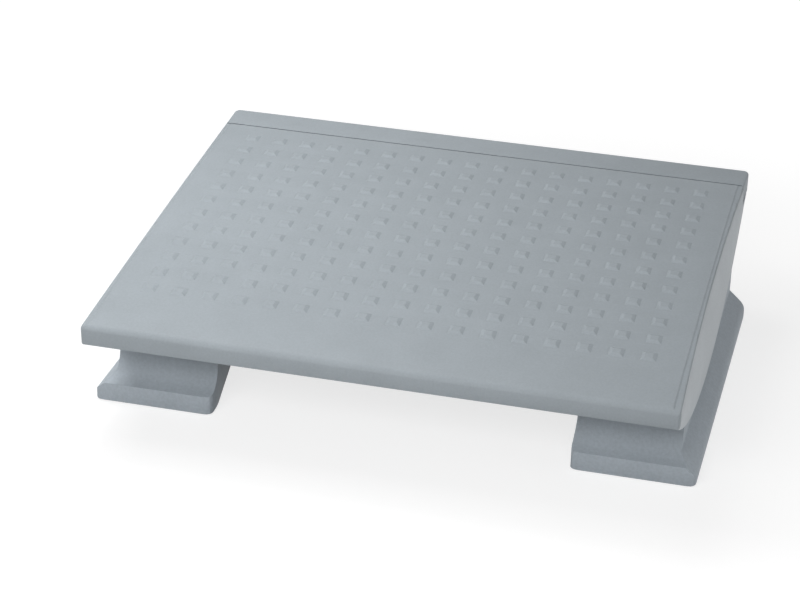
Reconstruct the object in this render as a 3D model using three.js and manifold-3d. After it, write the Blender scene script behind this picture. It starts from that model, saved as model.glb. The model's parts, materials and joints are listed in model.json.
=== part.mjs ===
import * as THREE from 'three';
import { mergeGeometries, mergeVertices } from 'three/addons/utils/BufferGeometryUtils.js';
import Module from 'manifold-3d';

// Tilting under-desk footrest.
// Lengths are millimetres, X runs to the user's right, Y away from the user, Z up.
// The origin lies on the floor, under the middle of the whole object at rest.

const wasm = await Module();
wasm.setup();

// Tilt of the tread and the height of its axle
const REST_TILT_DEGREES = 4;
const AXLE_HEIGHT = 50;
const AXLE_TO_DECK = 54;

// Running and seating gaps
const SEAM = 0.3;
const BORE_PLAY = 0.3;
const CUT_OVERRUN = 1;
const WELD = 0.0001;

// Tread plate
const TREAD_WIDTH = 450;
const TREAD_DEPTH = 384;
const TREAD_SKIN = 3;
const RIM_DEPTH = 15;
const RIM_WALL = 3;
const SIDE_LAND = 5;
const SIDE_RIB = 2.5;
const CROWN = 6;
const FRONT_ROUND = 6;
const EDGE_ROUND = 2;
const EDGE_DEPTH = 3;
const REAR_BAND = 31.5;
const FRONT_CORNER_RADIUS = 3;
const REAR_CORNER_RADIUS = 5.5;
const CORNER_STEPS = 4;
const CREASE_WIDTH = 1.4;
const CREASE_DEPTH = 0.8;
const SIDE_STEP_WIDTH = 1.2;
const SIDE_STEP_DEPTH = 0.7;
const TREAD_RIB = 2;
const TREAD_BAYS_X = 10;
const TREAD_BAYS_Y = 8;
const RIB_RECESS = 2;
const CROWN_STEPS = 12;

// Raised pads of the tread
const PAD_SIDE_INSET = 20;
const PAD_END_INSET = 16;
const PAD_FIELD_SETBACK = 3;
const PAD_PITCH = 24;
const PAD_BASE = 11.5;
const PAD_TOP = 6;
const PAD_HEIGHT = 1.3;
const PAD_ROOT = 0.8;

// Lens shaped cheeks at the two sides of the tread
const CHEEK_WALL = 3;
const CHEEK_REVEAL = 1.2;
const CHEEK_SAG = 57;
const CHEEK_WAIST = 3;
const CHEEK_DRAFT = 0.7;
const CHEEK_RIDGE_SHARE = 0.47;
const CHEEK_FRONT_INSET = 2.5;
const CHEEK_REAR_INSET = 8;
const CHEEK_STEPS = 17;
const TAB_REACH = 17;
const TAB_LENGTH = 22;
const TAB_THICKNESS = 3;
const TAB_SCREW_SETBACK = 10;
const TAB_RIB_NUMBERS = [-3, 0, 3];

// Self-tapping screws and their bosses
const SCREW_SHANK_RADIUS = 1.75;
const SCREW_SHANK_LENGTH = 12;
const SCREW_HEAD_RADIUS = 3.6;
const SCREW_HEAD_HEIGHT = 2.4;
const BOSS_RADIUS = 4.2;

// Feet
const FOOT_LENGTH = 297;
const FOOT_SETBACK = 5;
const FOOT_FRONT_WIDTH = 94.8;
const FOOT_TAPER_START = 16;
const FOOT_TAPER_SHARE = 0.16;
const FOOT_OUTREACH = 10;
const FOOT_WALL = 3;
const CHEEK_TO_FOOT = 1;
const AXLE_TO_ROOF_ROOM = 0.8;
const FOOT_BASE_HEIGHT = 1;
const FOOT_CORNER_RADIUS = 6.5;
const LIP_HEIGHT = 16;
const COVE_DEPTH = 21;
const COVE_TO_ROOF = 1;
const COVE_STEPS = 5;
const TOE_HEIGHT = 9;
const TOE_FILLET = 2.5;
const FLARE_HEIGHT = 12.5;
const FOOT_RIB = 2;
const FOOT_RIB_PITCH = 42;

// Bearing walls and the bracket ear between them
const BEARING_INSET = 3;
const BEARING_WALL = 6;
const BEARING_RADIUS = 13;
const BEARING_BASE = 52;
const EAR_THICKNESS = 10;
const EAR_ROOT = 44;
const EAR_SLOT_CLEARANCE = 3;
const BRACKET_PLATE = 3;
const BRACKET_LENGTH = 42;
const BRACKET_WIDTH = 52;
const BRACKET_SCREW_SPACING_X = 28;
const BRACKET_SCREW_SPACING_Y = 36;

// Axle and what sits on it
const AXLE_RADIUS = 6;
const AXLE_END_RADIUS = 4;
const AXLE_END_PROUD = 1.9;
const AXLE_SHOULDER_SETBACK = 0.4;
const BUSH_WALL = 1.1;
const FRICTION_DISC_THICKNESS = 2;
const COLLAR_RADIUS = 9.2;
const COLLAR_LENGTH = 8;
const COLLAR_PIN_RADIUS = 1.5;
const WASHER_RADIUS = 9;
const WASHER_THICKNESS = 1.6;
const DISC_SPRING_RADIUS = 8.8;
const DISC_SPRING_THICKNESS = 0.8;
const DISC_SPRING_RISE = 0.6;
const NUT_ACROSS_FLATS = 13;
const NUT_HEIGHT = 8;

// Rubber pads under the feet and rubber stops on them
const SOLE_RADIUS = 9;
const SOLE_HEIGHT = 3;
const SOLE_STEM_RADIUS = 2.5;
const SOLE_STEM_LENGTH = 5;
const SOLE_POST_RADIUS = 10;
const SOLE_END_INSET = 17;
const SOLE_SIDE_INSET = 14;
const STOP_RIB_NUMBER = 2;
const STOP_SIDE_INSET = 35;
const STOP_POST_RADIUS = 7;
const STOP_BUTTON_HEIGHT = 5;
const STOP_STEM_RADIUS = 2.5;
const STOP_STEM_LENGTH = 8;
const STOP_ANGLE_DEGREES = 14;

const ROUND_STEPS = 14;
const SMALL_ROUND_STEPS = 8;
const SCREW_STEPS = 6;

// Places on the tread, in its own frame with the axle as origin
const halfWidth = TREAD_WIDTH / 2;
const halfDepth = TREAD_DEPTH / 2;
const fieldHalfWidth = halfWidth - SIDE_LAND;
const creaseY = halfDepth - REAR_BAND;
const ribPitchX = TREAD_WIDTH / TREAD_BAYS_X;
const ribPitchY = (TREAD_DEPTH - 2 * RIM_WALL) / TREAD_BAYS_Y;
const padColumns = Math.floor((TREAD_WIDTH - 2 * PAD_SIDE_INSET) / PAD_PITCH);
const padRows = Math.floor((2 * creaseY - 2 * PAD_END_INSET) / PAD_PITCH);
const rimFloor = AXLE_TO_DECK - RIM_DEPTH;
const ribFloor = rimFloor + RIB_RECESS;
const mountTop = ribFloor - SEAM;
const tabFloor = mountTop - TAB_THICKNESS;
const bracketFloor = mountTop - BRACKET_PLATE;
const cheekRadius = (halfDepth ** 2 + CHEEK_SAG ** 2) / (2 * CHEEK_SAG);

// Places on the right foot
const footFrontY = FOOT_SETBACK - FOOT_LENGTH / 2;
const footRearY = FOOT_SETBACK + FOOT_LENGTH / 2;
const footTaperY = footFrontY + FOOT_TAPER_START;
const footOuterX = halfWidth + FOOT_OUTREACH;
const footInnerX = footOuterX - FOOT_FRONT_WIDTH;
const footWallX = halfWidth - CHEEK_WALL - CHEEK_TO_FOOT;
const roofHeight = AXLE_HEIGHT - COLLAR_RADIUS - AXLE_TO_ROOF_ROOM;
const coveHeight = roofHeight - COVE_TO_ROOF - LIP_HEIGHT;
const coveRadius = (COVE_DEPTH ** 2 + coveHeight ** 2) / (2 * COVE_DEPTH);
const flareTop = TOE_HEIGHT + FLARE_HEIGHT;
const footRibBase = SOLE_HEIGHT + SEAM;

// Places along the axle, from the foot's inner bearing wall outwards
const bearingInnerX = footInnerAt(BEARING_BASE / 2) + BEARING_INSET;
const discInnerX = bearingInnerX + BEARING_WALL + SEAM;
const earInnerX = discInnerX + FRICTION_DISC_THICKNESS + SEAM;
const earX = earInnerX + EAR_THICKNESS / 2;
const discOuterX = earInnerX + EAR_THICKNESS + SEAM;
const bearingOuterX = discOuterX + FRICTION_DISC_THICKNESS + SEAM;
const bearingEndX = bearingOuterX + BEARING_WALL;
const washerX = bearingEndX + SEAM;
const springX = washerX + WASHER_THICKNESS + SEAM;
const nutX = springX + DISC_SPRING_THICKNESS + DISC_SPRING_RISE + SEAM;
const axleEndX = nutX + NUT_HEIGHT + AXLE_END_PROUD;
const boreRadius = AXLE_RADIUS + BORE_PLAY;
const endBoreRadius = AXLE_END_RADIUS + BORE_PLAY;
const bushRadius = boreRadius + BUSH_WALL;

const X_AXIS = new THREE.Vector3(1, 0, 0);
const Y_AXIS = new THREE.Vector3(0, 1, 0);
const Z_AXIS = new THREE.Vector3(0, 0, 1);

// Turning geometry into solids and back
function bare(geometry) {
  const plain = geometry.index ? geometry.toNonIndexed() : geometry.clone();
  plain.deleteAttribute('normal');
  plain.deleteAttribute('uv');
  return plain;
}

function solidOf(geometry) {
  const merged = mergeVertices(bare(geometry), WELD);
  return new wasm.Manifold(new wasm.Mesh({
    numProp: 3,
    vertProperties: new Float32Array(merged.attributes.position.array),
    triVerts: new Uint32Array(merged.index.array),
  }));
}

function geometryOf(solid) {
  const mesh = solid.getMesh();
  const geometry = new THREE.BufferGeometry();
  geometry.setAttribute('position', new THREE.BufferAttribute(mesh.vertProperties, 3));
  geometry.setIndex(new THREE.BufferAttribute(mesh.triVerts, 1));
  const flat = geometry.toNonIndexed();
  flat.computeVertexNormals();
  return flat;
}

function together(geometries) {
  return solidOf(mergeGeometries(geometries.map(bare)));
}

// Basic bodies given by their bounds
function box(x0, x1, y0, y1, z0, z1) {
  const geometry = new THREE.BoxGeometry(x1 - x0, y1 - y0, z1 - z0);
  return geometry.translate((x0 + x1) / 2, (y0 + y1) / 2, (z0 + z1) / 2);
}

function rodAlongX(radius, x0, x1, y, z, steps = ROUND_STEPS) {
  const geometry = new THREE.CylinderGeometry(radius, radius, x1 - x0, steps);
  return geometry.rotateZ(-Math.PI / 2).translate((x0 + x1) / 2, y, z);
}

function rodAlongZ(radius, z0, z1, x, y, steps = ROUND_STEPS) {
  const geometry = new THREE.CylinderGeometry(radius, radius, z1 - z0, steps);
  return geometry.rotateX(Math.PI / 2).translate(x, y, (z0 + z1) / 2);
}

// A Y-Z outline carried along X, an X-Z outline along Y and an X-Y outline along Z
function alongX(shape, x0, x1, curveSegments = COVE_STEPS) {
  const geometry = new THREE.ExtrudeGeometry(shape, { depth: x1 - x0, bevelEnabled: false, curveSegments });
  const turn = new THREE.Matrix4().makeBasis(Y_AXIS, Z_AXIS, X_AXIS);
  return geometry.applyMatrix4(turn).translate(x0, 0, 0);
}

function alongY(shape, y0, y1, curveSegments = COVE_STEPS) {
  const geometry = new THREE.ExtrudeGeometry(shape, { depth: y1 - y0, bevelEnabled: false, curveSegments });
  const turn = new THREE.Matrix4().makeBasis(X_AXIS, Z_AXIS, Y_AXIS.clone().negate());
  return geometry.applyMatrix4(turn).translate(0, y1, 0);
}

function alongZ(shape, z0, z1, curveSegments = COVE_STEPS) {
  const geometry = new THREE.ExtrudeGeometry(shape, { depth: z1 - z0, bevelEnabled: false, curveSegments });
  return geometry.translate(0, 0, z0);
}

// A ring or stepped round body whose half section is given as radius and X pairs
function turned(section, steps = ROUND_STEPS) {
  const points = section.map(([radius, x]) => new THREE.Vector2(radius, x));
  return new THREE.LatheGeometry(points, steps).rotateZ(-Math.PI / 2);
}

function ringAlongX(inner, outer, x0, x1, steps = ROUND_STEPS) {
  return turned([[inner, x0], [outer, x0], [outer, x1], [inner, x1], [inner, x0]], steps);
}

// A closed outline through the given corners, each rounded by a short curve
function roundedOutline(corners, radius) {
  const shape = new THREE.Shape();
  const points = corners.map(([x, y]) => new THREE.Vector2(x, y));
  points.forEach((corner, i) => {
    const before = points.at(i - 1).clone().sub(corner).setLength(radius).add(corner);
    const after = points[(i + 1) % points.length].clone().sub(corner).setLength(radius).add(corner);
    if (i === 0) {
      shape.moveTo(before.x, before.y);
    } else {
      shape.lineTo(before.x, before.y);
    }
    shape.quadraticCurveTo(corner.x, corner.y, after.x, after.y);
  });
  return shape;
}

function mirrored(geometry) {
  const turnedOver = bare(geometry).scale(-1, 1, 1);
  const position = turnedOver.attributes.position;
  const kept = new THREE.Vector3();
  const moved = new THREE.Vector3();
  for (let corner = 0; corner < position.count; corner += 3) {
    kept.fromBufferAttribute(position, corner + 1);
    moved.fromBufferAttribute(position, corner + 2);
    position.setXYZ(corner + 1, moved.x, moved.y, moved.z);
    position.setXYZ(corner + 2, kept.x, kept.y, kept.z);
  }
  turnedOver.computeVertexNormals();
  return turnedOver;
}

// Height of the tread's top above its straight front and rear edges
function crownAt(y) {
  return CROWN * (1 - (y / halfDepth) ** 2);
}

function deckAt(y) {
  return AXLE_TO_DECK + crownAt(y);
}

// Lower edge of a cheek, an arc through the lower corners of the two rims
function cheekLowAt(y) {
  const rise = cheekRadius - Math.sqrt(cheekRadius ** 2 - y ** 2);
  return rimFloor - CHEEK_SAG + rise;
}

// Distance by which a quarter round falls back, the given distance inside its end
function roundedBack(radius, distance) {
  const short = Math.max(radius - distance, 0);
  return radius - Math.sqrt(radius ** 2 - short ** 2);
}

// Half width of the deck, waisted along its sides and rounded at its corners
function deckEdgeAt(y) {
  const waist = CHEEK_WAIST * (1 - (y / halfDepth) ** 2);
  const radius = y < 0 ? FRONT_CORNER_RADIUS : REAR_CORNER_RADIUS;
  return halfWidth - Math.max(waist, roundedBack(radius, halfDepth - Math.abs(y)));
}

// Depth by which the deck's front and rear edges fall away
function deckFallAt(y) {
  return roundedBack(y < 0 ? FRONT_ROUND : EDGE_ROUND, halfDepth - Math.abs(y));
}

// Places across a quarter round, from its end inwards
function roundPlaces(radius) {
  const places = [];
  for (let k = 0; k <= CORNER_STEPS; k += 1) {
    places.push(halfDepth - radius * (1 - Math.cos(k / CORNER_STEPS * Math.PI / 2)));
  }
  return places;
}

// Stations along the tread, close together round its ends and else between the rows of pads
function treadStations() {
  const between = [];
  const count = Math.floor((halfDepth - FRONT_ROUND) / PAD_PITCH);
  for (let k = -count; k <= count; k += 1) {
    between.push(k * PAD_PITCH);
  }
  const front = roundPlaces(FRONT_ROUND).map((y) => -y);
  return [...front, ...between, ...roundPlaces(REAR_CORNER_RADIUS).reverse()];
}

// The tread as a full block with a round edge; the corners of a unit block are led along the stations
function treadBlock() {
  const stations = treadStations();
  const backs = [0, EDGE_ROUND * (1 - Math.SQRT1_2), EDGE_ROUND];
  const columns = 2 * backs.length - 1;
  const block = new THREE.BoxGeometry(1, 1, 1, columns, stations.length - 1, 1);
  const position = block.attributes.position;
  for (let i = 0; i < position.count; i += 1) {
    const y = stations[Math.round((position.getY(i) + 0.5) * (stations.length - 1))];
    const column = Math.round((position.getX(i) + 0.5) * columns);
    const back = backs[Math.min(column, columns - column)];
    const x = Math.sign(position.getX(i)) * (deckEdgeAt(y) - back);
    const fall = Math.max(roundedBack(EDGE_ROUND, back), deckFallAt(y));
    position.setXYZ(i, x, y, position.getZ(i) > 0 ? deckAt(y) - fall : rimFloor);
  }
  return solidOf(block);
}

// Side view of the room for a cheek under the deck's edge
function pocketOutline(front, rear, floor) {
  const shape = new THREE.Shape();
  shape.moveTo(front, floor);
  shape.lineTo(rear, floor);
  for (let step = 0; step <= CROWN_STEPS; step += 1) {
    const y = rear + (front - rear) * (step / CROWN_STEPS);
    shape.lineTo(y, deckAt(y) - EDGE_DEPTH);
  }
  return shape;
}

// Rib lines across a span, at whole pitches from the middle
function ribLines(limit, pitch) {
  const lines = [];
  const count = Math.floor((limit - TREAD_RIB) / pitch);
  for (let k = -count; k <= count; k += 1) {
    lines.push(k * pitch);
  }
  return lines;
}

function cellSpans(limit, pitch) {
  const half = TREAD_RIB / 2;
  const edges = [-limit - half, ...ribLines(limit, pitch), limit + half];
  return edges.slice(1).map((edge, i) => [edges[i] + half, edge - half]);
}

function treadCells() {
  const cells = [];
  for (const [y0, y1] of cellSpans(halfDepth - RIM_WALL, ribPitchY)) {
    const top = Math.min(deckAt(y0), deckAt(y1)) - TREAD_SKIN;
    for (const [x0, x1] of cellSpans(fieldHalfWidth - SIDE_RIB, ribPitchX)) {
      cells.push(box(x0, x1, y0, y1, rimFloor - CUT_OVERRUN, top));
    }
  }
  return together(cells);
}

// A pad is a low four-sided frustum, square to the crowned deck, with its root sunk in it
function padAt(x, y) {
  const wide = PAD_BASE + PAD_ROOT * (PAD_BASE - PAD_TOP) / PAD_HEIGHT;
  const pad = new THREE.BoxGeometry(1, 1, PAD_HEIGHT + PAD_ROOT);
  pad.translate(0, 0, (PAD_HEIGHT - PAD_ROOT) / 2);
  const position = pad.attributes.position;
  for (let i = 0; i < position.count; i += 1) {
    const width = position.getZ(i) > 0 ? PAD_TOP : wide;
    position.setX(i, position.getX(i) * width);
    position.setY(i, position.getY(i) * width);
  }
  const slope = -2 * CROWN * y / halfDepth ** 2;
  return pad.rotateX(Math.atan(slope)).translate(x, y, deckAt(y));
}

function padField() {
  const pads = [];
  for (let column = 0; column < padColumns; column += 1) {
    for (let row = 0; row < padRows; row += 1) {
      const x = (column - (padColumns - 1) / 2) * PAD_PITCH;
      const y = PAD_FIELD_SETBACK + (row - (padRows - 1) / 2) * PAD_PITCH;
      pads.push(padAt(x, y));
    }
  }
  return together(pads);
}

// Places of the screws, in the tread's own frame
function tabScrewPlaces() {
  const x = fieldHalfWidth - TAB_SCREW_SETBACK;
  return TAB_RIB_NUMBERS.map((rib) => [x, rib * ribPitchY]);
}

function bracketScrewPlaces() {
  const places = [];
  for (const sideX of [-1, 1]) {
    for (const sideY of [-1, 1]) {
      places.push([earX + sideX * BRACKET_SCREW_SPACING_X / 2, sideY * BRACKET_SCREW_SPACING_Y / 2]);
    }
  }
  return places;
}

function bothSides(places) {
  return places.flatMap(([x, y]) => [[x, y], [-x, y]]);
}

function treadBosses() {
  const places = bothSides([...tabScrewPlaces(), ...bracketScrewPlaces()]);
  const bosses = places.map(([x, y]) => (
    rodAlongZ(BOSS_RADIUS, ribFloor, deckAt(y) - TREAD_SKIN / 2, x, y, SCREW_STEPS)));
  const radius = SCREW_SHANK_RADIUS + BORE_PLAY;
  const holeTop = AXLE_TO_DECK - TREAD_SKIN;
  const holes = places.map(([x, y]) => (
    rodAlongZ(radius, ribFloor - CUT_OVERRUN, holeTop, x, y, SCREW_STEPS)));
  return { bosses: together(bosses), holes: together(holes) };
}

// The rear band is wider than the field, so its end cells reach out to its end walls
function bandEndCells() {
  const inside = fieldHalfWidth - SIDE_RIB - CUT_OVERRUN;
  const outside = halfWidth - REAR_CORNER_RADIUS + RIM_WALL / 2;
  const front = creaseY + RIM_WALL;
  const rear = halfDepth - RIM_WALL;
  const top = AXLE_TO_DECK - TREAD_SKIN;
  return together([[inside, outside], [-outside, -inside]].map(([x0, x1]) => (
    box(x0, x1, front, rear, rimFloor - CUT_OVERRUN, top))));
}

// Groove in the deck before its rear band
function crease() {
  return solidOf(box(
    -halfWidth - CUT_OVERRUN, halfWidth + CUT_OVERRUN, creaseY - CREASE_WIDTH, creaseY,
    deckAt(creaseY) - CREASE_DEPTH, AXLE_TO_DECK + CROWN + CUT_OVERRUN));
}

// What is taken off the deck's right side, so that a slanted step leads down to a lower strip
function sideStep() {
  const front = -halfDepth;
  const rear = creaseY - CREASE_WIDTH / 2;
  const block = new THREE.BoxGeometry(1, 1, 1, 1, CROWN_STEPS, 1);
  const position = block.attributes.position;
  for (let i = 0; i < position.count; i += 1) {
    const y = front + (rear - front) * (position.getY(i) + 0.5);
    const side = Math.sign(position.getZ(i));
    const inner = fieldHalfWidth - (side + 1) * SIDE_STEP_WIDTH;
    const x = position.getX(i) < 0 ? inner : halfWidth + CUT_OVERRUN;
    position.setXYZ(i, x, y, deckAt(y) + side * SIDE_STEP_DEPTH);
  }
  return block;
}

function treadPlate() {
  let plate = treadBlock();
  const pocket = pocketOutline(FRONT_ROUND - halfDepth, creaseY, rimFloor - CUT_OVERRUN);
  const from = fieldHalfWidth;
  const to = halfWidth + CUT_OVERRUN;
  plate = plate.subtract(solidOf(alongX(pocket, from, to))).subtract(solidOf(alongX(pocket, -to, -from)));
  const { bosses, holes } = treadBosses();
  plate = plate.subtract(treadCells()).subtract(bandEndCells()).add(bosses).subtract(holes);
  const recess = box(
    RIM_WALL - halfWidth, halfWidth - RIM_WALL, RIM_WALL - halfDepth, halfDepth - RIM_WALL,
    rimFloor - CUT_OVERRUN, ribFloor);
  plate = plate.subtract(solidOf(recess)).subtract(crease());
  plate = plate.subtract(solidOf(sideStep())).subtract(solidOf(mirrored(sideStep())));
  return plate.add(padField());
}

// Face of a cheek at its lower edge, its ridge and its upper edge
function cheekOuterAt(y, level) {
  const waist = CHEEK_WAIST * (1 - (y / halfDepth) ** 2);
  return halfWidth - [CHEEK_DRAFT, 0, waist][level];
}

// The cheek's wall is a unit block whose corners are led along the tread's side
function cheekWall() {
  const front = CHEEK_FRONT_INSET - halfDepth;
  const rear = halfDepth - CHEEK_REAR_INSET;
  const block = new THREE.BoxGeometry(1, 1, 1, 1, CHEEK_STEPS, 2);
  const position = block.attributes.position;
  const inner = fieldHalfWidth + SEAM;
  for (let i = 0; i < position.count; i += 1) {
    const y = front + (rear - front) * (position.getY(i) + 0.5);
    const level = Math.round((position.getZ(i) + 0.5) * 2);
    const low = cheekLowAt(y);
    const high = deckAt(y) - EDGE_DEPTH - CHEEK_REVEAL;
    const ridge = high + (low - high) * CHEEK_RIDGE_SHARE;
    const x = position.getX(i) < 0 ? inner : cheekOuterAt(y, level);
    position.setXYZ(i, x, y, [low, ridge, high][level]);
  }
  return block;
}

// Room for the tread's own rim at the two ends of a cheek
function rimRoom() {
  const inner = fieldHalfWidth + SEAM - CUT_OVERRUN;
  const outer = halfWidth + CUT_OVERRUN;
  const top = AXLE_TO_DECK + CROWN + CUT_OVERRUN;
  const front = FRONT_ROUND - halfDepth + SEAM;
  return [
    box(inner, outer, -halfDepth - CUT_OVERRUN, front, rimFloor - SEAM, top),
    box(inner, outer, creaseY - SEAM, halfDepth, rimFloor - SEAM, top),
  ].map(solidOf);
}

function cheek() {
  const inner = fieldHalfWidth + SEAM;
  const backing = halfWidth - CHEEK_WALL;
  const lowest = rimFloor - CHEEK_SAG - CUT_OVERRUN;
  let body = rimRoom().reduce((left, room) => left.subtract(room), solidOf(cheekWall()));
  body = body.subtract(solidOf(box(
    inner - CUT_OVERRUN, backing, -halfDepth, halfDepth, lowest, tabFloor)));
  for (const [x, y] of tabScrewPlaces()) {
    const tab = box(
      inner - TAB_REACH, backing, y - TAB_LENGTH / 2, y + TAB_LENGTH / 2, tabFloor, mountTop);
    const radius = SCREW_SHANK_RADIUS + BORE_PLAY;
    const hole = rodAlongZ(
      radius, tabFloor - CUT_OVERRUN, mountTop + CUT_OVERRUN, x, y, SMALL_ROUND_STEPS);
    body = body.add(solidOf(tab)).subtract(solidOf(hole));
  }
  return geometryOf(body);
}

// A pan head screw driven upwards, with its head under the given level
function screw(seat) {
  const headTop = seat - SEAM;
  const half = SCREW_HEAD_RADIUS * Math.SQRT1_2;
  const points = [
    [0, headTop - SCREW_HEAD_HEIGHT],
    [half, headTop - SCREW_HEAD_HEIGHT],
    [SCREW_HEAD_RADIUS, headTop],
    [SCREW_SHANK_RADIUS, headTop],
    [SCREW_SHANK_RADIUS, headTop + SCREW_SHANK_LENGTH - SCREW_SHANK_RADIUS],
    [0, headTop + SCREW_SHANK_LENGTH],
  ];
  const section = points.map(([radius, z]) => new THREE.Vector2(radius, z));
  return new THREE.LatheGeometry(section, SCREW_STEPS).rotateX(Math.PI / 2);
}

function addEach(group, name, side, places, make, finish) {
  places.forEach(([x, y], i) => {
    const one = piece(`${name}_${side}_${i + 1}`, make(), finish);
    one.position.x = side === 'left' ? -x : x;
    one.position.y = y;
    group.add(one);
  });
}

// Ear outline round the axle, widening towards the plate above it
function earOutline() {
  const shape = new THREE.Shape();
  const top = bracketFloor + BRACKET_PLATE / 2;
  shape.moveTo(-EAR_ROOT / 2, top);
  shape.lineTo(-EAR_ROOT / 2, bracketFloor);
  shape.lineTo(-BEARING_RADIUS, 0);
  shape.absarc(0, 0, BEARING_RADIUS, Math.PI, 2 * Math.PI);
  shape.lineTo(EAR_ROOT / 2, bracketFloor);
  shape.lineTo(EAR_ROOT / 2, top);
  return shape;
}

function pivotBracket() {
  const plate = box(
    earX - BRACKET_LENGTH / 2, earX + BRACKET_LENGTH / 2, -BRACKET_WIDTH / 2, BRACKET_WIDTH / 2,
    bracketFloor, mountTop);
  const ear = alongX(earOutline(), earInnerX, earInnerX + EAR_THICKNESS);
  let body = solidOf(plate).add(solidOf(ear));
  const bore = rodAlongX(
    bushRadius + BORE_PLAY, earInnerX - CUT_OVERRUN, earInnerX + EAR_THICKNESS + CUT_OVERRUN, 0, 0);
  body = body.subtract(solidOf(bore));
  for (const [x, y] of bracketScrewPlaces()) {
    const radius = SCREW_SHANK_RADIUS + BORE_PLAY;
    body = body.subtract(solidOf(rodAlongZ(
      radius, bracketFloor - CUT_OVERRUN, mountTop + CUT_OVERRUN, x, y, SMALL_ROUND_STEPS)));
  }
  return geometryOf(body);
}

// Inner side of the right foot, straight beside the cove and then led outwards towards the back
function footInnerAt(y) {
  return footInnerX + FOOT_TAPER_SHARE * Math.max(y - footTaperY, 0);
}

// Side view of a foot: an upright lip and a cove up to the roof in front, a plain upright rear end
function footSideShape(inset, floor) {
  const radius = coveRadius + inset;
  const centreY = footFrontY + COVE_DEPTH - coveRadius;
  const centreZ = LIP_HEIGHT + coveHeight;
  const front = footFrontY + inset;
  const rear = footRearY - inset;
  const start = Math.acos((front - centreY) / radius);
  const roof = roofHeight - inset;
  const shape = new THREE.Shape();
  shape.moveTo(front, floor);
  shape.lineTo(rear, floor);
  shape.lineTo(rear, roof);
  shape.lineTo(centreY + radius, roof);
  shape.absarc(centreY, centreZ, radius, 0, -start, true);
  return shape;
}

// Front view of a foot: upright inner side, flared outer side
function footFrontShape(inset, floor) {
  const inner = footInnerX + inset;
  const outer = footOuterX - inset;
  const wall = footWallX - inset;
  const roof = roofHeight - inset;
  const toeRise = TOE_FILLET * FLARE_HEIGHT / (footOuterX - footWallX);
  const shape = new THREE.Shape();
  shape.moveTo(inner, floor);
  shape.lineTo(outer, floor);
  shape.lineTo(outer, TOE_HEIGHT - TOE_FILLET);
  shape.quadraticCurveTo(outer, TOE_HEIGHT, outer - TOE_FILLET, TOE_HEIGHT + toeRise);
  shape.lineTo(wall, flareTop);
  shape.lineTo(wall, roof);
  shape.lineTo(inner, roof);
  return shape;
}

// Plan of a foot, wide in front and narrower behind
function footPlan(inset) {
  const front = footFrontY + inset;
  const rear = footRearY - inset;
  const outer = footOuterX - inset;
  const inner = footInnerX + inset;
  const lean = inset * Math.hypot(1, FOOT_TAPER_SHARE);
  const corners = [
    [inner, front], [outer, front], [outer, rear], [footInnerAt(rear) + lean, rear], [inner, footTaperY],
  ];
  return roundedOutline(corners, FOOT_CORNER_RADIUS - inset);
}

function footForm(inset, floor) {
  const side = solidOf(alongX(footSideShape(inset, floor), footInnerX + inset, footOuterX - inset));
  const front = solidOf(alongY(footFrontShape(inset, floor), footFrontY + inset, footRearY - inset, 3));
  const upright = solidOf(alongZ(footPlan(inset), floor - CUT_OVERRUN, roofHeight + CUT_OVERRUN, 4));
  return side.intersect(front).intersect(upright);
}

function bearingOutline() {
  const shape = new THREE.Shape();
  const foot = roofHeight - FOOT_WALL / 2;
  shape.moveTo(-BEARING_BASE / 2, foot);
  shape.lineTo(BEARING_BASE / 2, foot);
  shape.lineTo(BEARING_BASE / 2, roofHeight);
  shape.lineTo(BEARING_RADIUS, AXLE_HEIGHT);
  shape.absarc(0, AXLE_HEIGHT, BEARING_RADIUS, 0, Math.PI);
  shape.lineTo(-BEARING_BASE / 2, roofHeight);
  return shape;
}

function solePlaces() {
  const ends = [footFrontY + SOLE_END_INSET, footRearY - SOLE_END_INSET];
  return ends.flatMap((y) => [
    [footInnerAt(y) + SOLE_SIDE_INSET, y], [footOuterX - SOLE_SIDE_INSET, y],
  ]);
}

// A stop stands under the same cross rib of the tread on either side of the axle
function stopPlaces() {
  const x = footOuterX - STOP_SIDE_INSET;
  const y = STOP_RIB_NUMBER * ribPitchY;
  return [[x, -y], [x, y]];
}

// The stop buttons meet the tread's ribs when the tread reaches its steepest tilt
function stopTopHeight() {
  const angle = THREE.MathUtils.degToRad(STOP_ANGLE_DEGREES);
  const nearY = STOP_RIB_NUMBER * ribPitchY + STOP_POST_RADIUS;
  const meeting = AXLE_HEIGHT + (ribFloor - SEAM) / Math.cos(angle) - nearY * Math.tan(angle);
  return meeting;
}

function footInnards() {
  const top = roofHeight - FOOT_WALL / 2;
  const half = FOOT_RIB / 2;
  const parts = [];
  for (const x of [bearingInnerX + BEARING_WALL / 2, bearingOuterX + BEARING_WALL / 2]) {
    parts.push(box(x - half, x + half, footFrontY, footRearY, footRibBase, top));
  }
  for (const line of ribLines(FOOT_LENGTH / 2, FOOT_RIB_PITCH)) {
    const y = FOOT_SETBACK + line;
    parts.push(box(footInnerX, footOuterX, y - half, y + half, footRibBase, top));
  }
  for (const [x, y] of solePlaces()) {
    parts.push(rodAlongZ(SOLE_POST_RADIUS, SOLE_HEIGHT + SEAM, top, x, y, SMALL_ROUND_STEPS));
  }
  return parts.map(solidOf).reduce((sum, part) => sum.add(part));
}

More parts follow.
